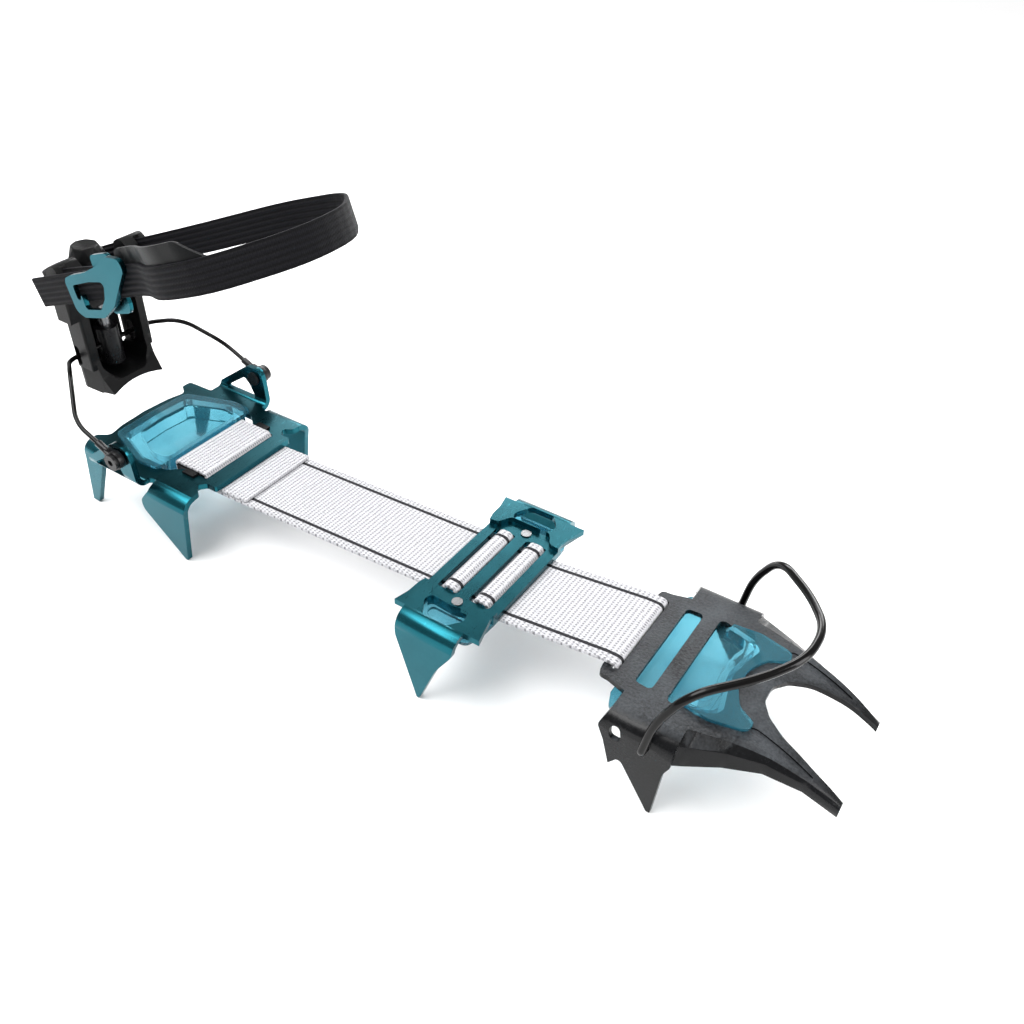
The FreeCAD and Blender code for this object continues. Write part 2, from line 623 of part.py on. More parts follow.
def strap_heel():
    """From the rear fold to the heel: under the front bar, round the lock bar and back over it."""
    start = rear_fold_x - half_gap
    over = lock_top + S.lay_gap + S.strap_gauge / 2
    back, tip = heel_x(-152.6), heel_x(-111.8)
    return webbing([(start, span_line(start, rear_from, rear_to)), (*rear_from, 10), (back, main_level, 1.6),
                    (back, over, 1.6), (heel_x(-135.2), over, 1.6), (heel_x(-134.4), flap_level, 1.2),
                    (rear_from[0], flap_level, 10),
                    (tip, span_line(tip, rear_from, rear_to) + S.strap_gauge + S.lay_gap)])


# ---------------------------------------------------------------- heel cable
def cable_points():
    """The left half of the cable, from inside its sleeve to the barrel, with the bolt and the way off it."""
    bolt = Vector(S.bolt_x, eye_middle, S.heel_level + S.bolt_rise)
    bend = Vector(S.bolt_x - 22, eye_middle, S.heel_level + S.bolt_rise + 9.5)
    along = (bend - bolt).normalize()
    half = [bolt + along * (S.eye_radius + 7.0), bend, Vector(S.screw_x + 13.0, 31, S.cable_height + 2.0),
            Vector(S.screw_x, 22.0, S.cable_height)]
    return half, bolt, along


eye_middle = S.ear_half_width + S.eye_gap + S.eye_thickness / 2
CABLE_BENDS = [10.0, 8.0, 4.4]


def heel_cable():
    half, _, _ = cable_points()
    return wire_solid(half, CABLE_BENDS, S.cable_radius, "heel_cable")


def cable_eye():
    """The crimped end of the cable: a flat ring on the bolt, a short tang and a round sleeve."""
    _, bolt, along = cable_points()
    half = S.eye_thickness / 2
    ring = rod(bolt - Vector(0, half, 0), Vector(0, 2 * half, 0), S.eye_radius)
    sleeve = rod(bolt + along * (S.eye_radius + 0.6), along * 6.4, S.sleeve_radius)
    up = Vector(0, 1, 0).cross(along)
    tang = Part.Face(Part.makePolygon([bolt + along * reach + up * rise for reach, rise in
                                       ((1, 2.8), (6, 1.4), (6, -1.4), (1, -2.8), (1, 2.8))]))
    tang.translate(Vector(0, -half, 0))
    tang = tang.extrude(Vector(0, 2 * half, 0))
    bore = rod(bolt - Vector(0, 5, 0), Vector(0, 10, 0), S.bolt_radius + S.bolt_play)
    return ring.fuse([tang, sleeve]).cut(bore)


def cable_bolt(turn):
    """A shoulder bolt: head outside, shank through the eye and the ear, peened end inside."""
    z = S.heel_level + S.bolt_rise
    outer = eye_middle + S.eye_thickness / 2 + 0.1
    inner = S.ear_half_width - S.heel_gauge
    shank = rod(Vector(S.bolt_x, inner - 1.0, z), Vector(0, outer - inner + 1.0, 0), S.bolt_radius)
    head = rod(Vector(S.bolt_x, outer, z), Vector(0, S.bolt_head_height, 0), S.bolt_head_radius)
    socket = side([(S.bolt_x + 1.5 * math.cos(math.radians(a)), z + 1.5 * math.sin(math.radians(a)))
                   for a in range(0, 360, 60)], outer + 0.8, outer + 5)
    nut = rod(Vector(S.bolt_x, inner - 1.1, z), Vector(0, 1.0, 0), S.bolt_head_radius - 0.4)
    solid = shank.fuse([head, nut]).cut(socket)
    return solid if turn > 0 else flip(solid)


# ---------------------------------------------------------------- heel lever
def lever_housing():
    half, wall = S.lever_half_width, S.lever_wall
    axis, crown, floor = S.screw_x, S.lever_top, S.lever_floor
    plan = mirrored([(axis - 9, 0), (axis - 9, 9, 2), (axis - 1.5, half, 2), (axis + 8.5, half, 1.2),
                     (axis + 8.5, 0)])
    profile = side([(axis - 9, crown, 1.5), (axis - 9, 18, 3), (axis - 5, 12.4, 3), (axis + 13.2, 10.6, 0.8),
                    (axis + 15.0, 12.2, 0.8), (axis + 10.2, 19.0, 3), (axis + 8.2, 27, 6),
                    (axis + 9.8, 46, 4), (axis + 7.0, crown, 2)], -FAR / 2, FAR / 2)
    trunk = profile.common(top(plan, floor + 4, FAR))
    toe_lip = top(mirrored([(axis - 8, 0), (axis - 8, 9, 2), (axis - 2, half - 0.6, 3),
                            (axis + 9, half - 2.2, 4), (axis + 16, half - 3.4, 1), (axis + 16, 0)]),
                  -FAR, floor + 12)
    body = trunk.fuse(profile.common(toe_lip))
    # the boot's heel fits the lip's concave edge
    boot = rod(Vector(axis + 30, 0, -32), Vector(-22, 0, 0), 46.2)
    body = body.cut(boot)
    # pocket for the barrel, open to the front
    pocket = side([(axis - 6.2, crown - 8, 2), (axis - 6.2, floor - 2.8, 2), (axis + 30, floor - 2.8),
                   (axis + 30, crown - 8)], -(half - wall), half - wall)
    pocket = pocket.common(end([(-half + wall, crown), (-half + wall, 23, 4), (-8, floor - 2.8, 4),
                                (8, floor - 2.8, 4), (half - wall, 23, 4), (half - wall, crown)], -FAR, FAR))
    body = body.cut(pocket)
    port = side([(axis - 1.9, S.cable_height - 4.2, 1.8), (axis - 1.9, S.cable_height + 5.2, 1.8),
                 (axis + 1.9, S.cable_height + 5.2, 1.8), (axis + 1.9, S.cable_height - 4.2, 1.8)],
                half - wall - 1, half + 10)
    body = body.cut([port, flip(port)])
    # neck and seat of the screw
    rise = S.knob_low - 0.7 - crown + 1.5
    neck = Part.makeCone(6.4, 5.2, rise, Vector(axis, 0, crown - 1.5), Vector(0, 0, 1))
    body = body.fuse(neck)
    return body.cut(rod(Vector(axis, 0, 20), Vector(0, 0, FAR), S.screw_radius + S.screw_play))


def strap_lug():
    """A loop on the housing's upper corner that the ankle strap runs through."""
    inner = S.lever_half_width + 0.3
    slot = S.ankle_gauge + 2 * S.ankle_play
    low, high = S.ankle_level - 13.5, S.ankle_level + 11.5
    axis = S.screw_x
    ring = top([(axis + 1, inner - 6, 1), (axis + 1, inner + slot + 2.6, 2),
                (axis + 12.5, inner + slot + 2.6, 2), (axis + 12.5, inner - 6, 1)], low, high)
    lean = side([(axis - 2, low - 1), (axis + 4, high - 2, 2), (axis + 8, high + 0.5, 3),
                 (axis + 14, high - 4, 2), (axis + 10.5, low - 1)], -FAR, FAR)
    body = ring.common(lean)
    opening = ankle_band([(-6, inner + slot / 2), (26, inner + slot / 2)], slot, S.ankle_width + 2.2)
    clear = top([(axis - 40, -FAR), (axis - 40, inner - 0.3), (axis + 40, inner - 0.3), (axis + 40, -FAR)],
                -FAR, S.lever_top - 6)
    knob_room = rod(Vector(axis, 0, S.lever_top - 1), Vector(0, 0, 60), S.knob_radius + 1.2)
    root = top([(axis - 1.0, 7, 1), (axis - 1.0, inner + 0.2, 1), (axis + 7, inner + 0.2, 1), (axis + 7, 7, 1)],
               S.lever_top - 9, S.lever_top + 2)
    return body.cut([opening, clear]).fuse(root.cut(opening)).cut(knob_room)


# ---------------------------------------------------------------- ankle strap
def ankle_place():
    """The strap's own plane: u runs forward and up along its slope, v is Y, and w is across the webbing."""
    turn = Rotation(Vector(0, 1, 0), -S.ankle_slope)
    return Placement(Vector(S.screw_x, 0, S.ankle_level), turn)


def in_ankle(shape):
    moved = shape.copy()
    moved.Placement = ankle_place().multiply(moved.Placement)
    return moved


def ankle_band(path, gauge, width):
    return in_ankle(top(centred(path, gauge), -width / 2, width / 2))


def ankle_route():
    """Middle line of the ankle strap, from its sewn end round the back and the ankle to its tip."""
    lug = S.lever_half_width + 0.3 + S.ankle_gauge / 2 + S.ankle_play
    return [(50, -lug - 5.2, 6), (20, -lug, 10), (-6, -lug, 6), (-15.5, -8, 8), (-15.5, 8, 8), (-6, lug, 6),
            (16, lug, 14), (48, 27, 40), (84, 41, 34), (122, 39, 30), (146, 12, 18), (146, -12, 18),
            (122, -36, 30), (96, -37.5, 34), (80, -lug - 10.8, 30), (71, -lug - 8.8, 20), (2.5, -lug - 8.8)]


def ankle_strap():
    return ankle_band(ankle_route(), S.ankle_gauge, S.ankle_width)


def buckle_outer():
    """The anodised hook frame in front of the strap, with its G-shaped opening."""
    gauge = S.buckle_gauge
    v = -(S.lever_half_width + 0.3 + S.ankle_gauge / 2 + S.ankle_play) - 8.8 - S.ankle_gauge / 2 - 0.4
    frame = [(31.2, 4.4, 3), (29.6, -8.4, 4), (33.3, -11.2, 3), (46.3, -12.2, 4), (55.9, -8.3, 4),
             (62, -3.4, 6), (71.4, 4.0, 3), (71.3, 8.4, 3), (64.1, 10.0, 4), (55.6, 7.2, 6), (46.5, 5.6, 5), (36.4, 5.4, 3)]
    opening = [(35.0, 1.6, 1.5), (34.2, -3.8, 0.8), (36.0, -4.4, 0.5), (38.0, -2.0, 0.3), (36.8, -8.2, 1.4),
               (46.5, -8.9, 1.6), (52.0, -5.1, 2), (56.4, 1.2, 1.6), (46.5, 2.0, 2)]
    plate = side(frame, 0, gauge).cut(side(opening, -CUT, gauge + CUT))
    plate.translate(Vector(0, v - gauge, 0))
    return in_ankle(plate)


def buckle_inner():
    """The second anodised plate, between the sewn end and the long end of the strap."""
    gauge = S.buckle_gauge - 0.4
    v = -(S.lever_half_width + 0.3 + S.ankle_gauge / 2 + S.ankle_play) - 7.0
    plate = side([(35.0, -12.2, 3), (46.5, -12.6, 4), (48, -9.2, 2), (49, 7.4, 3),
                  (47.5, 10.4, 3), (37, 10.6, 3), (36.2, 7.2, 2)], 0, gauge)
    window = side([(38.4, -7.6, 1), (44.6, -7.6, 1), (44.6, 6.6, 1), (38.4, 6.6, 1)], -CUT, gauge + CUT)
    plate = plate.cut(window)
    plate.translate(Vector(11, v - gauge / 2, 0))
    return in_ankle(plate)


def strap_label():
    """The moulded patch behind the near side of the strap, standing above its upper edge."""
    half = S.ankle_width / 2
    gauge = 1.0
    path = beside(ankle_route(), S.ankle_gauge / 2 + gauge / 2 + 0.1)
    patch = top(centred(path, gauge), -half + 1, half + 7)
    trim = side([(62, -half), (64, half + 5.4, 3), (113, half + 6.4, 5), (123, half - 1, 3), (123, -half)],
                -FAR, -4)
    return in_ankle(patch.common(trim))


# ---------------------------------------------------------------- screw, barrel and knob, with live sizes
def barrel_nut():
    """The barrel that the cable runs through and the screw draws, with a blind thread and a cross bore."""
    outer = primitive("Part::Cylinder", Radius="Sizes.barrel_radius",
                      Height="Sizes.barrel_high - Sizes.barrel_low",
                      Placement__Base__x="Sizes.screw_x", Placement__Base__z="Sizes.barrel_low")
    thread = primitive("Part::Cylinder", Radius="Sizes.screw_radius + Sizes.screw_play", Height="30",
                       Placement__Base__x="Sizes.screw_x",
                       Placement__Base__z="Sizes.cable_height + Sizes.cable_radius + 0.6")
    cross = turned(primitive("Part::Cylinder", Radius="Sizes.cable_radius + Sizes.cable_play", Height="40"),
                   Vector(1, 0, 0), -90)
    cross.setExpression("Placement.Base.x", "Sizes.screw_x")
    cross.setExpression("Placement.Base.y", "-20")
    cross.setExpression("Placement.Base.z", "Sizes.cable_height")
    bored = boolean("Part::Cut", outer, thread)
    return boolean("Part::Cut", bored, cross)


def adjust_screw():
    """The screw: threaded rod with a collar under the knob."""
    shank = primitive("Part::Cylinder", Radius="Sizes.screw_radius",
                      Height="Sizes.knob_low - Sizes.screw_low", Placement__Base__x="Sizes.screw_x",
                      Placement__Base__z="Sizes.screw_low")
    collar = primitive("Part::Cylinder", Radius="Sizes.screw_radius + 1.6", Height="0.5",
                       Placement__Base__x="Sizes.screw_x", Placement__Base__z="Sizes.knob_low - 0.55")
    return boolean("Part::Fuse", shank, collar)


def adjust_knob():
    """The faceted knob: a padded circle with a flat milled pattern, made as a PartDesign body."""
    body = doc.addObject("PartDesign::Body", "Knob")
    plane = next(f for f in body.Origin.OriginFeatures if f.Role == "XY_Plane")
    disc = body.newObject("Sketcher::SketchObject", "Disc")
    disc.AttachmentSupport = [(plane, "")]
    disc.MapMode = "FlatFace"
    disc.addGeometry(Part.Circle(Vector(0, 0, 0), Vector(0, 0, 1), S.knob_radius))
    import Sketcher
    disc.addConstraint(Sketcher.Constraint("Coincident", 0, 3, -1, 1))
    disc.addConstraint(Sketcher.Constraint("Radius", 0, S.knob_radius))
    disc.setExpression("Constraints[1]", "Sizes.knob_radius")
    pad = body.newObject("PartDesign::Pad", "Drum")
    pad.Profile = disc
    pad.setExpression("Length", "Sizes.knob_height")
    doc.recompute()
    # one notch across the rim, repeated round it
    notch = body.newObject("Sketcher::SketchObject", "Notch")
    notch.AttachmentSupport = [(plane, "")]
    notch.MapMode = "FlatFace"
    notch.addGeometry(Part.Circle(Vector(S.knob_radius + 1.7, 0, 0), Vector(0, 0, 1), 2.6))
    notch.addConstraint(Sketcher.Constraint("PointOnObject", 0, 3, -1))
    notch.addConstraint(Sketcher.Constraint("Radius", 0, 2.6))
    notch.addConstraint(Sketcher.Constraint("DistanceX", -1, 1, 0, 3, S.knob_radius + 1.7))
    notch.setExpression("Constraints[2]", "Sizes.knob_radius + 1.7")
    pocket = body.newObject("PartDesign::Pocket", "Grip")
    pocket.Profile = notch
    pocket.Type = "ThroughAll"
    pocket.Midplane = True
    doc.recompute()
    whole = pad.Shape.Volume
    if pocket.Shape.Volume > whole - 1:
        raise ValueError("the knob's grip notch cut nothing")
    ring = body.newObject("PartDesign::PolarPattern", "GripRing")
    ring.Originals = [pocket]
    ring.Axis = (disc, ["N_Axis"])
    ring.Angle = 360
    ring.Occurrences = 10
    body.Tip = ring
    doc.recompute()
    rim = body.newObject("PartDesign::Chamfer", "Rim")
    rim.Base = (ring, [f"Edge{i + 1}" for i, e in enumerate(ring.Shape.Edges)
                       if all(abs(v.Point.z - S.knob_height) < 1e-6 for v in e.Vertexes)
                       and e.Curve.TypeId == "Part::GeomCircle"
                       and abs(e.Curve.Radius - S.knob_radius) < 1e-6])
    rim.Size = 1.8
    body.Tip = rim
    body.setExpression("Placement.Base.x", "Sizes.screw_x")
    body.setExpression("Placement.Base.z", "Sizes.knob_low")
    return body


# ---------------------------------------------------------------- the assembly
add("mid_plate", mid_plate())
add("mid_skid_plate", mid_skid())
add("mid_rivets", mid_rivets())
add("toe_plate", toe_plate())
add("toe_skid_plate", toe_skid())
add("toe_bail", wire_solid(bail_points(), BAIL_BENDS, S.bail_wire_radius, "toe_bail"))
add("heel_plate", heel_plate())
add("heel_skid_plate", heel_skid())
add("strap_lock_bar", lock_bar())
add("strap_middle", strap_mid())
add("strap_toe_end", strap_toe())
add("strap_heel_end", strap_heel())
add("cable_bolt_left", cable_bolt(1))
add("cable_bolt_right", cable_bolt(-1))
add("heel_cable", heel_cable())
eye = cable_eye()
add("cable_eye_left", eye)
add("cable_eye_right", flip(eye))
add("lever_housing", lever_housing().fuse([strap_lug(), flip(strap_lug())]))
add("ankle_strap", ankle_strap())
add("buckle_hook", buckle_outer())
add("buckle_plate", buckle_inner())
add("strap_label", strap_label())
keep("barrel_nut", barrel_nut())
keep("adjust_screw", adjust_screw())
keep("adjust_knob", adjust_knob())
doc.recompute()

for item in doc.Objects:
    faults = [state for state in item.State if state in ("Invalid", "Error")]
    if faults:
        raise ValueError(f"{item.Label} is {faults}")
for name, item in PARTS.items():
    if item.Shape.isNull() or not item.Shape.isValid() or not item.Shape.Solids:
        raise ValueError(f"{name} has no valid solid")

# stand the whole on Z = 0, with X = 0 at the middle of its length
box = FreeCAD.BoundBox()
for item in PARTS.values():
    box.add(item.Shape.BoundBox)
shift = Vector(-(box.XMin + box.XMax) / 2, 0, S.leg_height)
os.makedirs("parts", exist_ok=True)
for name, item in PARTS.items():
    shape = item.Shape.copy()
    shape.translate(shift)
    shape.exportStep(f"parts/{name}.step")
print("shift", [round(v, 4) for v in shift], "box", box)
print("folds", rear_fold_x, rear_fold_z, front_fold_x, front_fold_z)
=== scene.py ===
import math

import bpy
from mathutils import Matrix, Vector


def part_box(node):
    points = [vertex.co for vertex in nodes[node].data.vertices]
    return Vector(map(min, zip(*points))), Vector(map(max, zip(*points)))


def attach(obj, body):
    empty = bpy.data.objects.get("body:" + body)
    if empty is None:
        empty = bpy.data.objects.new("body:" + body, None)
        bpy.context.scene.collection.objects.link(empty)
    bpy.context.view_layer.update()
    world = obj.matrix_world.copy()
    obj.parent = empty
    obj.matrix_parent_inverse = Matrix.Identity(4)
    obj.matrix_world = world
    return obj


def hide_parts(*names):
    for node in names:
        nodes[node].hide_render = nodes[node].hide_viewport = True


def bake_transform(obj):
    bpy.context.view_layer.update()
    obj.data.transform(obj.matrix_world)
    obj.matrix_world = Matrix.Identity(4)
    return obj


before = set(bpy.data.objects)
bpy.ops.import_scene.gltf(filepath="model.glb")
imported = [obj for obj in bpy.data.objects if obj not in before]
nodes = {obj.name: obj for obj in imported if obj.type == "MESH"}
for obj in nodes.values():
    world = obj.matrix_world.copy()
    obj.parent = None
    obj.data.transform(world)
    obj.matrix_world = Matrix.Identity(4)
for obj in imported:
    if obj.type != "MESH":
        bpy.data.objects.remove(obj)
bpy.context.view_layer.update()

MM = 0.001

# The drawing's own zero: the middle plate's centre, at the top of its web.
LEG_HEIGHT = 37.0
REAR_TIP_OF_MIDDLE = -18.9
drawing_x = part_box("mid_plate")[0][0] / MM - REAR_TIP_OF_MIDDLE


def place(x, y, z):
    """A place given in the drawing's millimetres, in the frame's metres."""
    return Vector(((x + drawing_x) * MM, y * MM, (z + LEG_HEIGHT) * MM))


# ------------------------------------------------------------------ shader helpers
# A Mix node has its sockets for every kind of value at once; these are the ones for colour.
MIX_FACTOR, MIX_FIRST, MIX_SECOND, MIX_RESULT = 0, 6, 7, 2


class Graph:
    """Adds nodes to a material or a node group with few words."""

    def __init__(self, tree):
        self.tree = tree

    def add(self, kind, settings=None, **inputs):
        node = self.tree.nodes.new(kind)
        for key, value in (settings or {}).items():
            setattr(node, key, value)
        for key, value in inputs.items():
            self.feed(node.inputs[key.replace("_", " ")], value)
        return node

    def feed(self, socket, value):
        if isinstance(value, bpy.types.NodeSocket):
            self.tree.links.new(value, socket)
        else:
            socket.default_value = value

    def math(self, operation, first, second=None, third=None):
        node = self.tree.nodes.new("ShaderNodeMath")
        node.operation = operation
        for socket, value in zip(node.inputs, (first, second, third)):
            if value is not None:
                self.feed(socket, value)
        return node.outputs[0]

    def ramp(self, factor, low, high, start=0.0, end=1.0):
        """Takes the factor from start..end to low..high, held at both ends."""
        node = self.tree.nodes.new("ShaderNodeMapRange")
        for name, value in zip(("Value", "From Min", "From Max", "To Min", "To Max"),
                               (factor, start, end, low, high)):
            self.feed(node.inputs[name], value)
        return node.outputs[0]

    def blend(self, factor, first, second):
        node = self.tree.nodes.new("ShaderNodeMix")
        node.data_type = "RGBA"
        self.feed(node.inputs[MIX_FACTOR], factor)
        self.feed(node.inputs[MIX_FIRST], first)
        self.feed(node.inputs[MIX_SECOND], second)
        return node.outputs[MIX_RESULT]


def new_group(name, takes, gives):
    """A shader node group with named sockets: its graph, its input node and its output node."""
    tree = bpy.data.node_groups.new(name, "ShaderNodeTree")
    for label, kind in takes:
        tree.interface.new_socket(label, in_out="INPUT", socket_type=kind)
    for label, kind in gives:
        tree.interface.new_socket(label, in_out="OUTPUT", socket_type=kind)
    graph = Graph(tree)
    return graph, tree.nodes.new("NodeGroupInput"), tree.nodes.new("NodeGroupOutput")


FLOAT, VECTOR = "NodeSocketFloat", "NodeSocketVector"

# Noise scales are in cells to the metre.
BROAD_PATCHES = 55.0
SCRATCHES = 160.0
SCRATCH_LIE = (0.2, 0.4, 0.9)           # how the scratches are turned on the surface
SCRATCH_STRETCH = (14.0, 1.0, 6.0)      # and how much finer they are across than along
SCRATCH_EDGE = (0.66, 0.72)             # the noise at which a scratch starts, and is at its full strength


def make_grain_group():
    """Fine grain, broad patches and thin scratches over a surface."""
    g, into, out = new_group("surface_grain", [("Vector", VECTOR), ("Grain Scale", FLOAT)],
                             [("Fine", FLOAT), ("Broad", FLOAT), ("Scratch", FLOAT)])
    where, grain_scale = into.outputs[0], into.outputs[1]
    fine = g.add("ShaderNodeTexNoise", Vector=where, Scale=grain_scale, Detail=3.0, Roughness=0.6)
    broad = g.add("ShaderNodeTexNoise", Vector=where, Scale=BROAD_PATCHES, Detail=3.0, Roughness=0.5)
    stretch = g.add("ShaderNodeMapping", Vector=where, Rotation=SCRATCH_LIE, Scale=SCRATCH_STRETCH)
    streak = g.add("ShaderNodeTexNoise", Vector=stretch.outputs[0], Scale=SCRATCHES, Detail=2.0)
    g.feed(out.inputs[0], fine.outputs[0])
    g.feed(out.inputs[1], broad.outputs[0])
    g.feed(out.inputs[2], g.ramp(streak.outputs[0], 0.0, 1.0, *SCRATCH_EDGE))
    return g.tree


THREAD_WOBBLE = 420.0
WOBBLE_TURN = 0.9                       # the most that the wobble shifts a rib, in radians
RIB_HEIGHT, THREAD_HEIGHT = 0.28, 0.22  # shares of the weave's relief, on either side of its middle
FLECKS = 1300.0


def make_weave_group():
    """Woven threads: ribs across the band, with threads over and under them."""
    g, into, out = new_group("woven_threads",
                             [("Vector", VECTOR), ("Rib Pitch", FLOAT), ("Thread Pitch", FLOAT)],
                             [("Height", FLOAT), ("Fleck", FLOAT), ("Along", FLOAT), ("Across", FLOAT)])
    where, rib_pitch, thread_pitch = into.outputs[0], into.outputs[1], into.outputs[2]
    parts = g.add("ShaderNodeSeparateXYZ", Vector=where)
    along, across = parts.outputs[0], parts.outputs[1]
    wobble = g.add("ShaderNodeTexNoise", Vector=where, Scale=THREAD_WOBBLE, Detail=2.0)
    shift = g.ramp(wobble.outputs[0], -WOBBLE_TURN, WOBBLE_TURN)
    rib_turn = g.math("ADD", g.math("MULTIPLY", g.math("DIVIDE", along, rib_pitch), math.tau), shift)
    rib = g.math("SINE", rib_turn)
    thread_turn = g.math("MULTIPLY", g.math("DIVIDE", across, thread_pitch), math.tau)
    rows = g.math("MULTIPLY", g.math("FLOOR", g.math("DIVIDE", along, rib_pitch)), math.pi)
    thread = g.math("SINE", g.math("ADD", thread_turn, rows))
    ribs = g.math("MULTIPLY_ADD", rib, RIB_HEIGHT, 0.5)
    height = g.math("MULTIPLY_ADD", thread, THREAD_HEIGHT, ribs)
    fleck = g.add("ShaderNodeTexNoise", Vector=where, Scale=FLECKS, Detail=2.0, Roughness=0.7)
    g.feed(out.inputs[0], height)
    g.feed(out.inputs[1], fleck.outputs[0])
    g.feed(out.inputs[2], along)
    g.feed(out.inputs[3], across)
    return g.tree


GRAIN = make_grain_group()
WEAVE = make_weave_group()


def start_material(name, **shader):
    """A new material with one Principled shader: the material, its graph and the shader."""
    material = bpy.data.materials.new(name)
    material.use_nodes = True
    tree = material.node_tree
    tree.nodes.clear()
    g = Graph(tree)
    surface = tree.nodes.new("ShaderNodeBsdfPrincipled")
    finish = tree.nodes.new("ShaderNodeOutputMaterial")
    tree.links.new(surface.outputs[0], finish.inputs[0])
    for key, value in shader.items():
        surface.inputs[key.replace("_", " ")].default_value = value
    return material, g, surface


def add_bump(g, surface, height, distance, strength=1.0):
    bump = g.add("ShaderNodeBump", Height=height, Distance=distance, Strength=strength)
    g.feed(surface.inputs["Normal"], bump.outputs[0])


NOISE_SPAN = (0.35, 0.65)               # nearly all of a noise lies between these
TONE_SPAN = (0.36, 0.64)
FINE_IN_TONE, BROAD_IN_TONE = 0.45, 0.55
FINE_IN_GLOSS, BROAD_IN_GLOSS = 0.5, 0.5
FACES_UP = (0.86, 0.97)                 # how far up a face looks when it starts to count, and counts fully
RELIEF_OFF_FLATS = 0.12                 # what is left of the relief on faces that don't look up
SCRATCH_COLOUR, SCRATCH_SHINE = 0.35, -0.08     # how much a scratch changes the colour and the roughness


def grainy(name, dark, light, rough, grain_scale, depth, scratch=None, up_flats_painted_shading=None, **shader):
    """A hard surface whose colour drifts between two tones, with grain in its gloss and relief.

    depth is the relief in metres, and scratch the colour of its scratches.
    The flats that face up may be given their own (dark, light, roughness range); those two tones are
    painted light and shade, from how the light falls on the tops."""
    material, g, surface = start_material(name, **shader)
    places = g.add("ShaderNodeTexCoord").outputs
    grain = g.add("ShaderNodeGroup", {"node_tree": GRAIN}, Vector=places["Object"],
                  Grain_Scale=grain_scale)
    fine, broad, streak = grain.outputs
    mottle = g.math("MULTIPLY_ADD", fine, FINE_IN_TONE, g.math("MULTIPLY", broad, BROAD_IN_TONE))
    tone = g.ramp(mottle, 0.0, 1.0, *TONE_SPAN)
    gloss = g.math("MULTIPLY_ADD", fine, FINE_IN_GLOSS, g.math("MULTIPLY", broad, BROAD_IN_GLOSS))
    colour = g.blend(tone, dark, light)
    roughness = g.ramp(gloss, *rough, *NOISE_SPAN)
    relief = fine
    if up_flats_painted_shading:
        normal = g.add("ShaderNodeSeparateXYZ", Vector=places["Normal"])
        up = g.ramp(normal.outputs[2], 0.0, 1.0, *FACES_UP)
        painted_up_dark, painted_up_light, up_rough = up_flats_painted_shading
        # Painted light and shade: the flats that face up take their own two tones, from how the light
        # falls on them.
        colour = g.blend(up, colour, g.blend(tone, painted_up_dark, painted_up_light))
        change = g.math("SUBTRACT", g.ramp(gloss, *up_rough, *NOISE_SPAN), roughness)
        roughness = g.math("MULTIPLY_ADD", change, up, roughness)
        relief = g.math("MULTIPLY", fine, g.ramp(up, RELIEF_OFF_FLATS, 1.0))
    if scratch:
        colour = g.blend(g.math("MULTIPLY", streak, SCRATCH_COLOUR), colour, scratch)
        roughness = g.math("MULTIPLY_ADD", streak, SCRATCH_SHINE, roughness)
    g.feed(surface.inputs["Base Color"], colour)
    g.feed(surface.inputs["Roughness"], roughness)
    add_bump(g, surface, relief, depth)
    return material


# The teal's up-facing flats are darker: painted shade on its tops.
teal_anodising = grainy(
    "teal_anodising", dark=(0.010, 0.088, 0.112, 1), light=(0.014, 0.112, 0.140, 1),
    rough=(0.22, 0.28), grain_scale=2600.0, depth=0.000008, scratch=(0.03, 0.20, 0.24, 1),
    up_flats_painted_shading=((0.0050, 0.052, 0.066, 1), (0.0075, 0.070, 0.088, 1), (0.26, 0.34)), Metallic=1.0)
# The steel's up-facing flats are lighter: painted light on its tops, over their real grain and rougher
# finish.
forged_black_steel = grainy(
    "forged_black_steel", dark=(0.0012, 0.0013, 0.0016, 1), light=(0.0045, 0.005, 0.006, 1),
    rough=(0.18, 0.30), grain_scale=950.0, depth=0.00035,
    up_flats_painted_shading=((0.005, 0.0055, 0.0065, 1), (0.046, 0.051, 0.057, 1), (0.40, 0.62)),
    Metallic=0.0, Specular_IOR_Level=0.22)
wire_coating = grainy(
    "wire_coating", dark=(0.0012, 0.0011, 0.0011, 1), light=(0.0025, 0.0022, 0.0021, 1),
    rough=(0.12, 0.18), grain_scale=900.0, depth=0.00001, Metallic=0.0, Specular_IOR_Level=0.20)
black_fastener = grainy(
    "black_fastener", dark=(0.003, 0.003, 0.0035, 1), light=(0.009, 0.009, 0.010, 1),
    rough=(0.24, 0.36), grain_scale=1800.0, depth=0.00002, Metallic=0.0, Specular_IOR_Level=0.28)
moulded_black = grainy(
    "moulded_black", dark=(0.0020, 0.0021, 0.0023, 1), light=(0.0045, 0.0046, 0.0049, 1),
    rough=(0.30, 0.44), grain_scale=2200.0, depth=0.00005, Metallic=0.0, Specular_IOR_Level=0.14)
bright_steel = grainy(
    "bright_steel", dark=(0.16, 0.165, 0.17, 1), light=(0.28, 0.285, 0.29, 1),
    rough=(0.24, 0.38), grain_scale=2400.0, depth=0.00002, scratch=(0.4, 0.4, 0.4, 1), Metallic=1.0)
label_rubber = grainy(
    "label_rubber", dark=(0.003, 0.0035, 0.004, 1), light=(0.007, 0.0075, 0.008, 1),
    rough=(0.36, 0.48), grain_scale=3000.0, depth=0.00003, Metallic=0.0, Specular_IOR_Level=0.14)


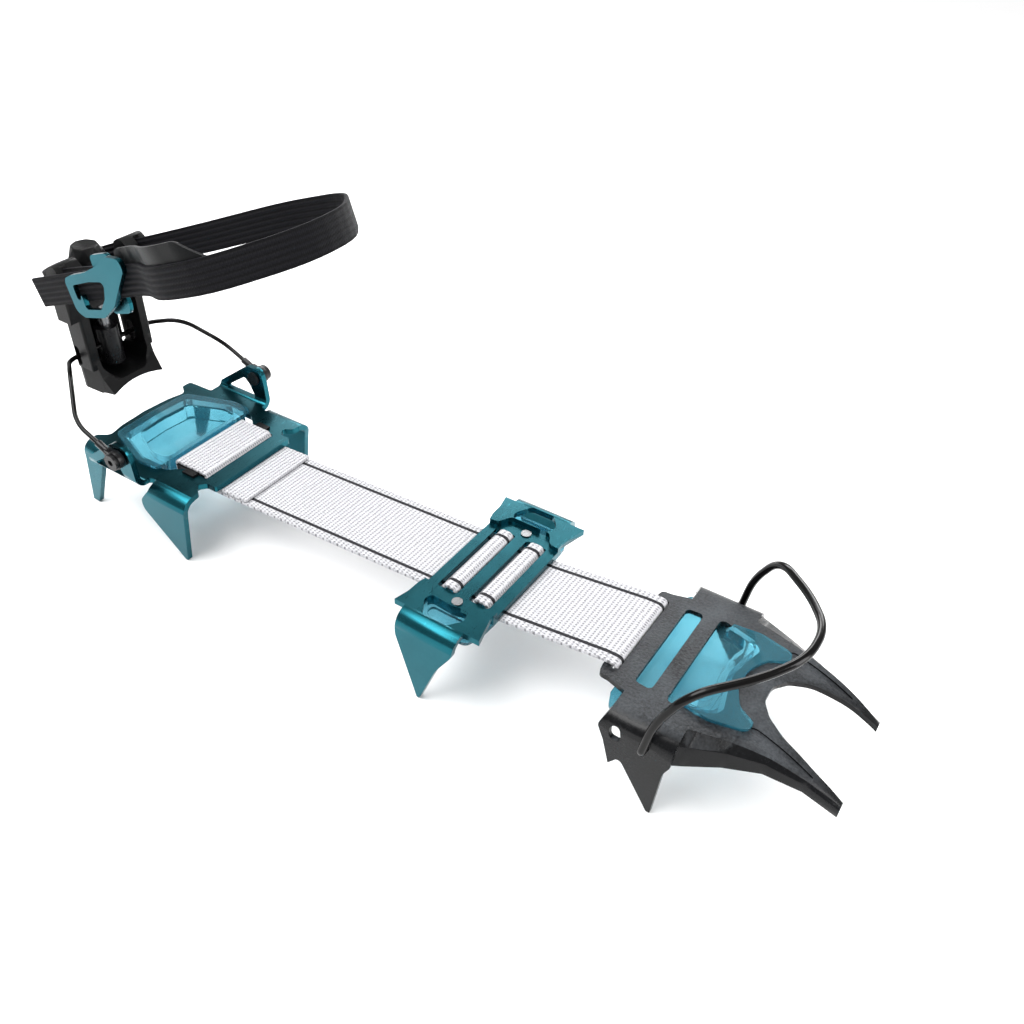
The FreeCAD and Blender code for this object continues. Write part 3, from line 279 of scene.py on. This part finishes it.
def make_clear_blue():
    """The tinted see-through plastic of the three anti-snow plates."""
    material, g, surface = start_material("clear_blue_plastic", IOR=1.46, Transmission_Weight=0.86,
                                          Metallic=0.0)
    where = g.add("ShaderNodeTexCoord").outputs["Object"]
    grain = g.add("ShaderNodeGroup", {"node_tree": GRAIN}, Vector=where, Grain_Scale=700.0)
    fine, broad, _ = grain.outputs
    tone = g.ramp(broad, 0.0, 1.0, *NOISE_SPAN)
    colour = g.blend(tone, (0.095, 0.36, 0.47, 1), (0.14, 0.45, 0.56, 1))
    g.feed(surface.inputs["Base Color"], colour)
    g.feed(surface.inputs["Roughness"], g.ramp(fine, 0.03, 0.09, *NOISE_SPAN))
    add_bump(g, surface, fine, 0.00002)
    return material


# The white band's measures, in metres. Its folded-back end shows the plain side, with no line drawn.
FIRST_PRINTED = 0.047
LINE_INNER, LINE_OUTER = 0.0152, 0.0167     # the two sides of a printed line, from the band's middle
WHITE_RIB, WHITE_THREAD, STITCH = 0.0019, 0.0012, 0.0022
STITCH_SLANT, STITCH_RELIEF = 1.1, 0.25
WHITE_RELIEF = 0.00055
FLECK_EDGE, FLECK_STRENGTH = (0.56, 0.66), 0.6


def make_white_webbing():
    """White band: ribs across with painted shade in the weave's low places, grey flecks, a black line
    inside each edge and slanted edge stitches.
    """
    material, g, surface = start_material("white_webbing", Metallic=0.0, Specular_IOR_Level=0.2)
    where = g.add("ShaderNodeUVMap", {"uv_map": "band"}).outputs[0]
    weave = g.add("ShaderNodeGroup", {"node_tree": WEAVE}, Vector=where, Rib_Pitch=WHITE_RIB,
                  Thread_Pitch=WHITE_THREAD)
    height, fleck, along, across = weave.outputs
    from_middle = g.math("ABSOLUTE", across)
    line = g.math("MULTIPLY", g.math("GREATER_THAN", from_middle, LINE_INNER),
                  g.math("LESS_THAN", from_middle, LINE_OUTER))
    line = g.math("MULTIPLY", line, g.math("GREATER_THAN", along, FIRST_PRINTED))
    edge = g.math("GREATER_THAN", from_middle, LINE_OUTER)
    stitch_run = g.math("MULTIPLY_ADD", from_middle, STITCH_SLANT, along)
    slant = g.math("SINE", g.math("MULTIPLY", stitch_run, math.tau / STITCH))
    relief = g.math("MULTIPLY_ADD", g.math("MULTIPLY", edge, slant), STITCH_RELIEF, height)
    # Painted shade: the weave's low places are darker and the raised threads paler.
    groove_shaded_white = g.blend(g.ramp(height, 0.0, 1.0, 0.0, 0.55), (0.17, 0.17, 0.18, 1), (0.55, 0.55, 0.575, 1))
    flecks = g.math("MULTIPLY", g.ramp(fleck, 0.0, 1.0, *FLECK_EDGE), FLECK_STRENGTH)
    flecked = g.blend(flecks, groove_shaded_white, (0.16, 0.16, 0.17, 1))
    striped = g.blend(line, flecked, (0.020, 0.020, 0.023, 1))
    g.feed(surface.inputs["Base Color"], striped)
    g.feed(surface.inputs["Roughness"], g.ramp(height, 0.90, 0.70))
    add_bump(g, surface, relief, WHITE_RELIEF)
    return material


# The black band's measures, in metres; its cords run lengthwise, side by side.
BLACK_RIB, BLACK_THREAD, BLACK_CORD = 0.0007, 0.0019, 0.00205
WEAVE_OVER_CORDS = 0.25                 # the fine weave's share of the relief, beside the cords' own
BLACK_RELIEF = 0.0004


def make_black_webbing():
    """Black band with ribs along its length and fine threads across, and painted shade in the grooves
    between its cords.
    """
    material, g, surface = start_material("black_webbing", Metallic=0.0, Specular_IOR_Level=0.12)
    where = g.add("ShaderNodeUVMap", {"uv_map": "band"}).outputs[0]
    weave = g.add("ShaderNodeGroup", {"node_tree": WEAVE}, Vector=where, Rib_Pitch=BLACK_RIB,
                  Thread_Pitch=BLACK_THREAD)
    height, fleck, _, across = weave.outputs
    cord_turn = g.math("MULTIPLY", across, math.tau / BLACK_CORD)
    ribs = g.math("MULTIPLY_ADD", g.math("COSINE", cord_turn), 0.5, 0.5)
    relief = g.math("MULTIPLY_ADD", height, WEAVE_OVER_CORDS, ribs)
    # Painted shade: the tone is darker in the grooves between the cords and paler on their crests, mixed
    # with random flecks.
    tone = g.math("MULTIPLY_ADD", fleck, 0.5, g.math("MULTIPLY", ribs, 0.5))
    colour = g.blend(g.ramp(tone, 0.0, 1.0, 0.15, 0.8), (0.0012, 0.0012, 0.0016, 1),
                     (0.0052, 0.0052, 0.0074, 1))
    g.feed(surface.inputs["Base Color"], colour)
    g.feed(surface.inputs["Roughness"], g.ramp(height, 0.78, 0.55))
    add_bump(g, surface, relief, BLACK_RELIEF)
    return material


clear_blue = make_clear_blue()
white_webbing = make_white_webbing()
black_webbing = make_black_webbing()

# Every CAD piece's finish.
FINISHES = {
    "mid_plate": teal_anodising, "heel_plate": teal_anodising, "buckle_hook": teal_anodising,
    "buckle_plate": teal_anodising, "toe_plate": forged_black_steel, "toe_bail": wire_coating,
    "heel_cable": wire_coating, "cable_eye_left": black_fastener, "cable_eye_right": black_fastener,
    "cable_bolt_left": black_fastener, "cable_bolt_right": black_fastener, "barrel_nut": black_fastener,
    "mid_rivets": bright_steel, "adjust_screw": bright_steel, "strap_lock_bar": moulded_black,
    "lever_housing": moulded_black, "adjust_knob": moulded_black, "strap_label": label_rubber,
    "toe_skid_plate": clear_blue, "mid_skid_plate": clear_blue, "heel_skid_plate": clear_blue,
    "strap_heel_end": white_webbing, "strap_middle": white_webbing, "strap_toe_end": white_webbing,
    "ankle_strap": black_webbing,
}
for name, finish in FINISHES.items():
    mesh = nodes[name].data
    mesh.materials.clear()
    mesh.materials.append(finish)

# The width in millimetres that each piece's sharp edges are eased by.
EASED_EDGES = {
    "mid_plate": 0.35, "heel_plate": 0.35, "toe_plate": 0.35, "buckle_hook": 0.3, "buckle_plate": 0.3,
    "lever_housing": 0.45, "adjust_knob": 0.3, "cable_bolt_left": 0.3, "cable_bolt_right": 0.3,
    "cable_eye_left": 0.25, "cable_eye_right": 0.25, "strap_label": 0.2,
    "toe_skid_plate": 0.35, "mid_skid_plate": 0.3, "heel_skid_plate": 0.35, "strap_lock_bar": 0.4,
}
SAME_CORNER = 0.002 * MM                # corners of the loose triangles closer than this are one corner
SHARP_EDGE = math.radians(38)
for name, width in EASED_EDGES.items():
    weld = nodes[name].modifiers.new("Weld", "WELD")
    weld.merge_threshold = SAME_CORNER
    ease = nodes[name].modifiers.new("EasedEdges", "BEVEL")
    ease.width = width * MM
    ease.segments = 2
    ease.limit_method = "ANGLE"
    ease.angle_limit = SHARP_EDGE
    ease.harden_normals = False
    ease.use_clamp_overlap = True


# ------------------------------------------------------------------ webbing
MOST_OF_HALF = 0.48                     # a rounded corner takes at most this share of a side
CURVE_SHARES = (0, 0.25, 0.5, 0.75, 1)
NO_LENGTH = 1e-7


def smooth_line(points, step, reach):
    """Points a step apart on a line whose corners are rounded, by curves that start reach before them."""
    line = [points[0]]
    for before, here, after in zip(points, points[1:], points[2:]):
        back, on = before - here, after - here
        cut = min(reach, MOST_OF_HALF * back.length, MOST_OF_HALF * on.length)
        start, finish = here + back.normalized() * cut, here + on.normalized() * cut
        for share in CURVE_SHARES:
            line.append(start.lerp(here, share).lerp(here.lerp(finish, share), share))
    line.append(points[-1])
    spaced = [line[0]]
    for here, after in zip(line, line[1:]):
        length = (after - here).length
        count = max(1, round(length / step))
        if length > NO_LENGTH:
            spaced += [here.lerp(after, (i + 1) / count) for i in range(count)]
    return spaced


SELVEDGE_ROUND = 0.3                    # a band's edge rounding, as a share of its gauge
SELVEDGE_CORNER = math.radians(50)
BAND_CREASE = math.radians(40)


def weave_band(name, line, across, width, gauge, finish, columns=10, first=0.0):
    """A flat band along a line. Its texture map is in metres: along it, from first on, and across it."""
    bpy.ops.object.select_all(action="DESELECT")
    bpy.ops.mesh.primitive_grid_add(x_subdivisions=len(line) - 1, y_subdivisions=columns, size=1.0)
    band = bpy.context.object
    band.name = band.data.name = name
    reach = [first]
    for here, after in zip(line, line[1:]):
        reach.append(reach[-1] + (after - here).length)
    rows = {}
    for vertex in band.data.vertices:
        row = round((vertex.co.x + 0.5) * (len(line) - 1))
        rows[vertex.index] = (row, vertex.co.y * width)
    uv_map = band.data.uv_layers[0]
    uv_map.name = "band"
    for loop in band.data.loops:
        row, aside = rows[loop.vertex_index]
        uv_map.data[loop.index].uv = (reach[row], aside)
    for vertex in band.data.vertices:
        row, aside = rows[vertex.index]
        vertex.co = line[row] + across * aside
    thick = band.modifiers.new("Thickness", "SOLIDIFY")
    thick.thickness = gauge
    thick.offset = 0.0
    thick.use_even_offset = True
    bpy.ops.object.modifier_apply(modifier=thick.name)
    ease = band.modifiers.new("SelvedgeRound", "BEVEL")
    ease.width = SELVEDGE_ROUND * gauge
    ease.segments = 3
    ease.limit_method = "ANGLE"
    ease.angle_limit = SELVEDGE_CORNER
    bpy.ops.object.modifier_apply(modifier=ease.name)
    band.data.materials.append(finish)
    bpy.ops.object.shade_smooth_by_angle(angle=BAND_CREASE)
    return band


STRAP_WIDTH = 40.0 * MM
STRAP_GAUGE = 1.5 * MM
SIDEWAYS = Vector((0, 1, 0))
STRAP_STEP, STRAP_TURN = 1.2 * MM, 1.3 * MM
FRONT_FIRST = 0.2                       # past the plain end, so the front band is printed all along


def strap_line(points):
    """The linkage webbing's path, from its corners seen from the side in the drawing's millimetres."""
    return smooth_line([place(x, 0, z) for x, z in points], STRAP_STEP, STRAP_TURN)


# The band's levels in the drawing's millimetres: under and over the middle plate's bars; the heel's main
# run, its folded-back end and its way over the lock bar; over and under the toe plate.
UNDER, OVER = -3.45, 0.75
MAIN, FLAP, LOCK_OVER = -9.2, -7.45, -2.95
TOE_OVER, TOE_UNDER = 1.95, -1.95
rear_line = strap_line([
    (-111.8, -6.73), (-125.5, FLAP), (-134.4, FLAP), (-135.2, LOCK_OVER), (-152.6, LOCK_OVER),
    (-152.6, MAIN), (-125.5, MAIN), (-16.5, UNDER), (-10.5, UNDER), (-9.0, OVER), (-4.8, OVER),
    (-3.3, UNDER), (0.0, UNDER)])
front_line = strap_line([
    (0.2, UNDER), (3.6, UNDER), (5.1, OVER), (9.5, OVER), (11.0, UNDER), (17.0, UNDER),
    (58.0, TOE_OVER), (63.3, TOE_OVER), (63.9, TOE_UNDER), (70.5, TOE_UNDER)])
rear_band = weave_band("linkage_webbing_rear", rear_line, SIDEWAYS, STRAP_WIDTH, STRAP_GAUGE,
                       white_webbing)
front_band = weave_band("linkage_webbing_front", front_line, SIDEWAYS, STRAP_WIDTH, STRAP_GAUGE,
                        white_webbing, first=FRONT_FIRST)
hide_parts("strap_heel_end", "strap_middle")
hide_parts("strap_toe_end")
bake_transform(rear_band)
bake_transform(front_band)


# ------------------------------------------------------------------ ankle strap
ANKLE_SLOPE = math.radians(20.4)
ankle_turn = Matrix.Rotation(-ANKLE_SLOPE, 3, "Y")
ankle_zero = place(-208.0, 0, 62.0)
LUG = 18.7                              # a lug's middle, out from the screw
TAIL = LUG + 8.8                        # the free tail's lie, outside the buckle
ANKLE_WIDTH, ANKLE_GAUGE = 11.8 * MM, 1.7 * MM
ANKLE_STEP, ANKLE_BEND = 2.0 * MM, 13.0 * MM


def ankle(u, v):
    """A place in the strap's own slanted plane: millimetres forward and to the left of the screw."""
    return ankle_zero + ankle_turn @ Vector((u * MM, v * MM, 0.0))


# From the buckle back through both lugs, round the ankle, and to the end of the tail.
ankle_points = [ankle(u, v) for u, v in (
    (50, -LUG - 5.2), (20, -LUG), (-6, -LUG), (-15.5, -8), (-15.5, 8), (-6, LUG), (16, LUG),
    (48, 27), (84, 41), (122, 39), (146, 12), (146, -12), (122, -36), (96, -37.5),
    (80, -LUG - 10.8), (71, -TAIL), (2.5, -TAIL))]
ankle_band = weave_band("ankle_webbing", smooth_line(ankle_points, ANKLE_STEP, ANKLE_BEND),
                        ankle_turn @ Vector((0, 0, 1)), ANKLE_WIDTH, ANKLE_GAUGE, black_webbing,
                        columns=6)
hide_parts("ankle_strap")
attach(ankle_band, "lever")


# ------------------------------------------------------------------ adjusting knob
KNOB_CORNERS = 8
KNOB_LOW, KNOB_WAIST, KNOB_TOP = 6.4 * MM, 7.9 * MM, 5.7 * MM     # the radius of each ring of corners
WAIST_DROP, CROWN = -0.1, 0.72          # how high the waist and the dished crown lie, in half heights
HALF_STEP = math.pi / KNOB_CORNERS
SPHERE_RING = 0.7                       # about how high a unit sphere's upper ring lies
SPHERE_POLE = 0.99                      # only the two poles lie higher or lower than this
FACET_EDGE = math.radians(8)
FACET_CREASE = math.radians(14)
FACET_EASE = 0.35 * MM


def make_knob():
    """A knob cut into triangular facets: three rings of corners, the middle one turned half a step."""
    low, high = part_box("adjust_knob")
    middle = Vector([(a + b) / 2 for a, b in zip(low, high)])
    half = (high[2] - low[2]) / 2
    bpy.ops.object.select_all(action="DESELECT")
    bpy.ops.mesh.primitive_uv_sphere_add(segments=KNOB_CORNERS, ring_count=4, radius=1.0)
    knob = bpy.context.object
    knob.name = knob.data.name = "facet_knob"
    rings = {-1: (KNOB_LOW, -half, 0.0), 0: (KNOB_WAIST, WAIST_DROP * half, HALF_STEP),
             1: (KNOB_TOP, half, 0.0)}
    for vertex in knob.data.vertices:
        x, y, z = vertex.co
        if abs(z) > SPHERE_POLE:
            vertex.co = middle + Vector((0, 0, -half if z < 0 else CROWN * half))
            continue
        radius, height, twist = rings[round(z / SPHERE_RING)]
        turn = math.atan2(y, x) + twist
        vertex.co = middle + Vector((radius * math.cos(turn), radius * math.sin(turn), height))
    facets = knob.modifiers.new("Facets", "TRIANGULATE")
    facets.quad_method = "SHORTEST_DIAGONAL"
    bpy.ops.object.modifier_apply(modifier=facets.name)
    ease = knob.modifiers.new("EasedEdges", "BEVEL")
    ease.width = FACET_EASE
    ease.segments = 2
    ease.limit_method = "ANGLE"
    ease.angle_limit = FACET_EDGE
    bpy.ops.object.modifier_apply(modifier=ease.name)
    knob.data.materials.append(moulded_black)
    bpy.ops.object.shade_smooth_by_angle(angle=FACET_CREASE)
    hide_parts("adjust_knob")
    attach(knob, "knob")


make_knob()


# ------------------------------------------------------------------ floor, light and camera
FLOOR_SIZE, FLOOR_LEVEL = 80.0, -0.0005


def make_floor():
    """A plain pale floor, just below the points."""
    bpy.ops.object.select_all(action="DESELECT")
    bpy.ops.mesh.primitive_plane_add(size=FLOOR_SIZE, location=(0, 0, FLOOR_LEVEL))
    floor = bpy.context.object
    floor.name = "floor"
    material, g, surface = start_material("pale_floor", Roughness=0.9)
    where = g.add("ShaderNodeTexCoord").outputs["Object"]
    patch = g.add("ShaderNodeTexNoise", Vector=where, Scale=3.0, Detail=2.0)
    pale = g.blend(patch.outputs[0], (0.90, 0.90, 0.90, 1), (0.93, 0.93, 0.93, 1))
    g.feed(surface.inputs["Base Color"], pale)
    floor.data.materials.append(material)


def add_light(name, location, target, size, power):
    """A soft rectangular light that looks at the target."""
    light = bpy.data.lights.new(name, "AREA")
    light.shape = "RECTANGLE"
    light.size, light.size_y = size
    light.energy = power
    lamp = bpy.data.objects.new(name, light)
    bpy.context.collection.objects.link(lamp)
    lamp.location = location
    lamp.rotation_euler = (Vector(target) - Vector(location)).to_track_quat("-Z", "Y").to_euler()


SUN_STRENGTH, SUN_BREADTH = 1.7, math.radians(60)
SUN_LEAN = (math.radians(12), math.radians(-18), 0)


def add_sun():
    """A broad overhead light that keeps the far floor as pale as the near floor."""
    sun = bpy.data.lights.new("overhead_light", "SUN")
    sun.energy = SUN_STRENGTH
    sun.angle = SUN_BREADTH
    lamp = bpy.data.objects.new("overhead_light", sun)
    bpy.context.collection.objects.link(lamp)
    lamp.rotation_euler = SUN_LEAN


CAMERA_PLACE = (145.18, -233.98, 246.52)        # in the drawing's millimetres
CAMERA_RIGHT = Vector((0.83390, 0.55099, 0.03187))
CAMERA_AHEAD = Vector((-0.39282, 0.63311, -0.66698))
SENSOR_WIDTH, LENS = 36.0, 33.8203125
SHIFT_X, SHIFT_Y = 0.0177, 0.0537


def make_camera():
    """The camera in front of the toes and to the right, looking down at the whole linkage."""
    eye = place(*CAMERA_PLACE)
    right, ahead = CAMERA_RIGHT, CAMERA_AHEAD
    up = right.cross(ahead)
    camera = bpy.data.objects.new("camera", bpy.data.cameras.new("camera"))
    camera.data.sensor_width = SENSOR_WIDTH
    camera.data.lens = LENS
    camera.data.shift_x, camera.data.shift_y = SHIFT_X, SHIFT_Y
    camera.data.clip_start = 0.01
    camera.matrix_world = Matrix((
        (right.x, up.x, -ahead.x, eye.x), (right.y, up.y, -ahead.y, eye.y),
        (right.z, up.z, -ahead.z, eye.z), (0, 0, 0, 1)))
    bpy.context.collection.objects.link(camera)
    bpy.context.scene.camera = camera


SKY_STRENGTH = 0.50


def make_world():
    """Even white light from all round."""
    world = bpy.data.worlds.new("studio")
    bpy.context.scene.world = world
    world.use_nodes = True
    background = world.node_tree.nodes["Background"]
    background.inputs["Color"].default_value = (1, 1, 1, 1)
    background.inputs["Strength"].default_value = SKY_STRENGTH


make_floor()
make_world()
add_light("key_light", location=(-0.30, -0.25, 0.85), target=(0, 0, 0.02), size=(0.9, 0.5), power=8.0)
add_light("rim_light", location=(-0.25, 0.80, 0.50), target=(0, 0, 0.04), size=(1.0, 0.25), power=9.0)
add_light("front_light", location=(0.80, 0.15, 0.40), target=(0.05, 0, 0.03), size=(0.3, 0.7), power=5.0)
add_sun()
make_camera()
bpy.context.scene.view_settings.view_transform = "Standard"
